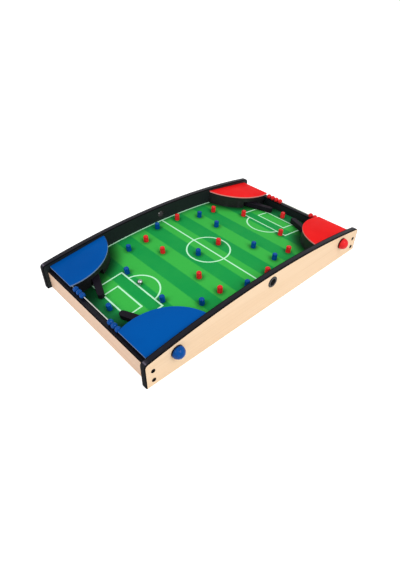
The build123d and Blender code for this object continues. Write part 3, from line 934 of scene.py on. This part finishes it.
# Score wires: straight bright steel wires with chamfered ends, each laid in grooves of two corner
# walls and clamped by the plates.
wire_chamfer = 0.0002
wire_low, wire_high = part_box("red_score_wire")
wire_x = (wire_low.x + wire_high.x) / 2
wire_z = (wire_low.z + wire_high.z) / 2
wire_radius = (wire_high.z - wire_low.z) / 2
wire_end = [(0, wire_high.y), (wire_radius - wire_chamfer, wire_high.y)]
wire_end.append((wire_radius, wire_high.y - wire_chamfer))
wire_points, wire_faces = turned(wire_end + [(r, -y) for r, y in reversed(wire_end)], segments=24)
for end, end_sign in (("blue", -1), ("red", 1)):
    x, z, y = np.moveaxis(wire_points, -1, 0)
    new_piece(
        f"{end}_wire",
        np.stack([end_sign * wire_x + x, y, wire_z + z], -1),
        wire_faces,
        drawn_steel,
        "steel",
        replaces=[f"{end}_score_wire"],
    )


# Score beads: painted wooden balls, drilled and slid onto the wire before it was clamped. Six at
# each end count the goals.
bead_low, bead_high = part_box("red_bead_1")
bead_radius = (bead_high.z - bead_low.z) / 2
bead_hole_radius = 0.0014
beads_per_end = 6
hole_angle = math.asin(bead_hole_radius / bead_radius)
bead_turn = math.pi / 2 - hole_angle
bead_round = arc((0, 0), bead_radius, bead_turn, -bead_turn, steps=41)
bead_profile = np.concatenate([bead_round, [(bead_hole_radius, 0)]])
bead_points, bead_faces = turned(bead_profile, closed=True, segments=48)
for end in ("blue", "red"):
    for number in range(1, beads_per_end + 1):
        bead_low, bead_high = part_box(f"{end}_bead_{number}")
        middle = (bead_low + bead_high) / 2
        x, y, z = np.moveaxis(bead_points, -1, 0)
        new_piece(
            f"{end}_score_{number}",
            np.stack([middle.x + x, middle.y + z, middle.z + y], -1),
            bead_faces,
            gloss_paints[end],
            f"{end}_gloss",
            body=f"{end}_bead_{number}",
            replaces=[f"{end}_bead_{number}"],
        )


# Ball-feed grommets: black moulded linings pressed into the hole in the middle of each side panel,
# with a rounded flange outside.
grommet_low, grommet_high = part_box("far_ball_grommet")
flange_radius = (grommet_high.x - grommet_low.x) / 2
flange_thickness = grommet_high.y - half_width
sleeve_radius = 0.0086
bore_radius = 0.007
bore_softness = 0.0002
grommet_z = (grommet_low.z + grommet_high.z) / 2
flange_rounding = flange_thickness / 2
flange_top = (flange_radius - flange_rounding, flange_thickness - flange_rounding)
mouth = (bore_radius + bore_softness, flange_thickness - bore_softness)
grommet_profile = np.concatenate(
    [
        arc(mouth, bore_softness, math.pi, math.pi / 2, steps=5),
        arc(flange_top, flange_rounding, math.pi / 2, 0, steps=9),
        [(flange_radius, 0), (sleeve_radius, 0)],
        [(sleeve_radius, inner_width - half_width), (bore_radius, inner_width - half_width)],
    ]
)
grommet_points, grommet_faces = turned(grommet_profile, closed=True)
for side, side_sign in (("near", -1), ("far", 1)):
    x, y, z = np.moveaxis(grommet_points, -1, 0)
    new_piece(
        f"{side}_feed_lining",
        np.stack([x, side_sign * (half_width + z), grommet_z + y], -1),
        grommet_faces,
        fine_moulding,
        "black_moulding",
        replaces=[f"{side}_ball_grommet"],
    )


# Panel screws: black-oxide furniture screws with a hex socket, through the side panels into the
# ends of the end panels.
screw_black = (0.003, 0.002, 0.002, 1)
screw_bright = (0.012, 0.01, 0.01, 1)
black_oxide, tree, shader, place = new_finish("black_oxide")
rubbed_off = noise(tree, place, waves=(260, 260, 260), detail=4)
rubbed_bright = ramp(tree, rubbed_off, start=0.55, end=0.75)
give_surface(
    tree,
    shader,
    colour=mix_colours(tree, rubbed_bright, screw_black, screw_bright),
    roughness=between(tree, rubbed_off, 0.25, 0.45),
    bumps=rubbed_off,
    depth=0.00005,
    gloss=0.02,
)
dress(black_oxide, "panel_screws")


# Ball: a polished steel bearing ball, ground round and dulled a little by handling. It is loose and
# lies on the pitch.
ball_low, ball_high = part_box("steel_ball")
ball_centre = (ball_low + ball_high) / 2
ball_radius = (ball_high.z - ball_low.z) / 2
bearing_steel, tree, shader, place = new_finish("bearing_steel")
handled = noise(tree, place, waves=(220, 220, 220), detail=4)
steel_light = (0.4, 0.39, 0.41, 1)
steel_handled = (0.3, 0.29, 0.31, 1)
give_surface(
    tree,
    shader,
    colour=mix_colours(tree, handled, steel_light, steel_handled),
    roughness=between(tree, ramp(tree, handled, start=0.4, end=0.8), 0.05, 0.17),
    metal=1.0,
)
ball_profile = arc((0, 0), ball_radius, math.pi / 2, -math.pi / 2, steps=33)
ball_points, ball_faces = turned(ball_profile)
new_piece(
    "bearing_ball",
    ball_points + np.array(ball_centre),
    ball_faces,
    bearing_steel,
    "polished_steel",
    body="steel_ball",
    replaces=["steel_ball"],
)


# Studio: a white floor that keeps the tray's soft shadow, an even white surround and two large
# soft lamps, one over the near side and one behind the blue end.
floor_half = 6.0
floor_grey = (0.8, 0.8, 0.8, 1)
studio_white = (1, 1, 1, 1)
floor_glow = 0.62
surround_level = 0.6
lit_point = (0, 0, 0.03)
floor_mesh = bpy.data.meshes.new("studio_floor")
floor_corners = np.array([(-1, -1, 0), (1, -1, 0), (1, 1, 0), (-1, 1, 0)]) * floor_half
floor_mesh.from_pydata(floor_corners.tolist(), [], [(0, 1, 2, 3)])
floor = bpy.data.objects.new("studio_floor", floor_mesh)
bpy.context.scene.collection.objects.link(floor)


def seen_directly(tree):
    """1 for rays from the camera or by way of a mirror or glass, and 0 for scattered light."""
    rays = add_node(tree, "LightPath", {}).outputs
    mirrored = calc(tree, "MAXIMUM", rays["Is Glossy Ray"], rays["Is Transmission Ray"])
    return calc(tree, "MAXIMUM", rays["Is Camera Ray"], mirrored)


floor_paper, tree, shader, place = new_finish("floor_paper")
shader.inputs["Base Color"].default_value = floor_grey
shader.inputs["Roughness"].default_value = 1.0
shader.inputs["Specular IOR Level"].default_value = 0.0
shader.inputs["Emission Color"].default_value = studio_white
seen_glow = calc(tree, "MULTIPLY", seen_directly(tree), floor_glow)
tree.links.new(seen_glow, shader.inputs["Emission Strength"])
floor_mesh.materials.append(floor_paper)

surround = bpy.data.worlds.new("surround")
bpy.context.scene.world = surround
surround.use_nodes = True
tree = surround.node_tree
surround_strength = between(tree, seen_directly(tree), surround_level, 1.0)
tree.links.new(surround_strength, tree.nodes["Background"].inputs["Strength"])
tree.nodes["Background"].inputs["Color"].default_value = studio_white


def soft_lamp(name, place, target, size, power):
    """A square soft lamp at a place, turned to shine on a target."""
    lamp = bpy.data.lights.new(name, "AREA")
    lamp.size = size
    lamp.energy = power
    fitting = bpy.data.objects.new(name, lamp)
    bpy.context.scene.collection.objects.link(fitting)
    fitting.location = place
    aim = Vector(target) - Vector(place)
    fitting.rotation_euler = aim.to_track_quat("-Z", "Y").to_euler()


soft_lamp("key_lamp", (0.05, -1.6, 1.5), lit_point, size=1.2, power=22)
soft_lamp("fill_lamp", (-1.6, 0.3, 1.3), lit_point, size=1.2, power=9)


# Camera at the photograph's viewing angle, close to the near blue corner.
camera_data = bpy.data.cameras.new("camera")
camera_data.sensor_width = 36.0
camera_data.lens = 26.573
camera = bpy.data.objects.new("camera", camera_data)
camera.location = (-0.48304, -0.50519, 0.52278)
camera.rotation_euler = [math.radians(angle) for angle in (50.6056, -0.194, -42.191)]
bpy.context.scene.collection.objects.link(camera)
bpy.context.scene.camera = camera
bpy.context.scene.view_settings.view_transform = "Standard"
